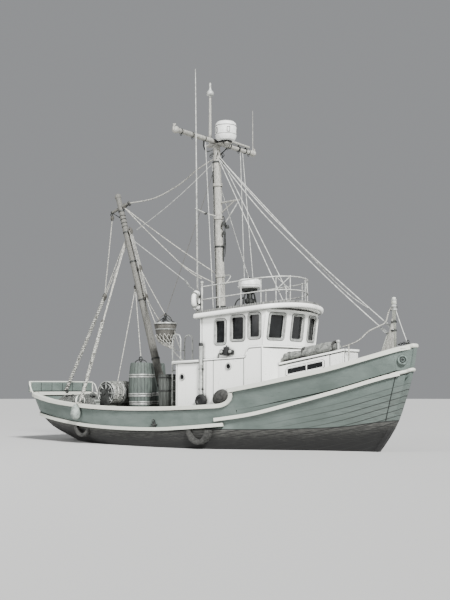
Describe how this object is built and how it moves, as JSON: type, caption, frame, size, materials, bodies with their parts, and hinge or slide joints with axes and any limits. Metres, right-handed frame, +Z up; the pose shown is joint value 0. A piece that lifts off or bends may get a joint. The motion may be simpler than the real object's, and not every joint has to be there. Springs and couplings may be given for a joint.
{
  "type": "fishing trawler",
  "caption": "Wooden side trawler with low after deck, deckhouse and wheelhouse amidships, mast with yard, leaning cargo boom, trawl winch, hatch, barrels and forward trunk cabin.",
  "frame": {"origin": "on the waterline at the centreline, halfway along the hull", "axes": "+X towards the bow, +Y to port, +Z up"},
  "size_m": [14.178, 4.5974, 13.4702],
  "materials": {
    "hull_paint": "matt grey-green paint on planks, dark below",
    "bottom_paint": "dark bottom paint",
    "rail_paint": "off-white paint",
    "white_paint": "weathered white paint",
    "deck_timber": "worn bare planks",
    "grey_timber": "dark weathered timber",
    "pole_timber": "weathered spar",
    "cask_wood": "grey-green staves",
    "galvanised": "galvanised",
    "dark_steel": "dark painted iron",
    "bronze": "cast bronze",
    "pane": "dark glass",
    "white_plastic": "gloss white"
  },
  "bodies": {
    "hull": {"barrel_large": "cask_wood", "barrel_small": "cask_wood", "basket": "grey_timber", "boom_step": "dark_steel", "bow_post": "galvanised", "bulwark_aft": "hull_paint", "bulwark_fore": "hull_paint", "cap_rail_aft": "rail_paint", "cap_rail_fore": "rail_paint", "deckhouse_aft_wall": "white_paint", "deckhouse_front": "white_paint", "deckhouse_roof": "white_paint", "deckhouse_side_port": "white_paint", "deckhouse_side_starboard": "white_paint", "engine": "dark_steel", "foredeck": "deck_timber", "forestay": "galvanised", "glazing_front": "pane", "glazing_port": "pane", "glazing_starboard": "pane", "hatch_coaming": "grey_timber", "helm_stand": "grey_timber", "hull": "hull_paint", "keel": "bottom_paint", "ladder": "galvanised", "main_deck": "deck_timber", "mast": "pole_timber", "platform": "grey_timber", "radar_dome": "white_plastic", "radome": "white_plastic", "roof_rail": "galvanised", "rub_strake_aft": "rail_paint", "rub_strake_fore_port": "rail_paint", "rub_strake_fore_starboard": "rail_paint", "stem": "hull_paint", "stern_board": "hull_paint", "trunk_roof": "white_paint", "trunk_walls": "white_paint", "tub": "grey_timber", "vent_pipe": "white_paint", "wheelhouse_aft_wall": "white_paint", "wheelhouse_floor": "deck_timber", "wheelhouse_front": "white_paint", "wheelhouse_roof": "white_paint", "wheelhouse_side_port": "white_paint", "wheelhouse_side_starboard": "white_paint", "whip_antenna": "white_plastic", "winch_frame": "dark_steel", "windlass": "dark_steel", "yard": "pole_timber"},
    "propeller": {"propeller": "bronze"},
    "rudder": {"rudder": "bottom_paint"},
    "boom": {"boom": "pole_timber"},
    "winch_drum": {"winch_drum": "dark_steel"},
    "deckhouse_door": {"deckhouse_door": "white_paint"},
    "hatch_lid": {"hatch_lid": "grey_timber"},
    "helm_wheel": {"helm_wheel": "grey_timber"}
  },
  "joints": [
    {"name": "propeller_turn", "type": "hinge", "parent": "hull", "child": "propeller", "pos_m": [-5.1, 0, -1.02], "axis": [1, 0, 0], "continuous": true},
    {"name": "rudder_turn", "type": "hinge", "parent": "hull", "child": "rudder", "pos_m": [-5.62, 0, -1], "axis": [0, 0, 1], "range_deg": [-35, 35]},
    {"name": "helm_turn", "type": "hinge", "parent": "hull", "child": "helm_wheel", "pos_m": [2.2, 0, 3.05], "axis": [1, 0, 0], "range_deg": [-700, 700]},
    {"name": "boom_luff", "type": "hinge", "parent": "hull", "child": "boom", "pos_m": [-2.07, 0, 1.33], "axis": [0, 1, 0], "range_deg": [-45, 12]},
    {"name": "winch_turn", "type": "hinge", "parent": "hull", "child": "winch_drum", "pos_m": [-3.4, -0.9, 1.62], "axis": [0, 1, 0], "continuous": true},
    {"name": "door_swing", "type": "hinge", "parent": "hull", "child": "deckhouse_door", "pos_m": [-0.43, 0.9, 1.5], "axis": [0, 0, -1], "range_deg": [0, 110]},
    {"name": "lid_lift", "type": "hinge", "parent": "hull", "child": "hatch_lid", "pos_m": [-4.88, 0, 1.3583], "axis": [0, -1, 0], "range_deg": [0, 100]}
  ],
  "couplings": [
    {"joint": "helm_turn", "follows": "rudder_turn", "ratio": 20}
  ]
}
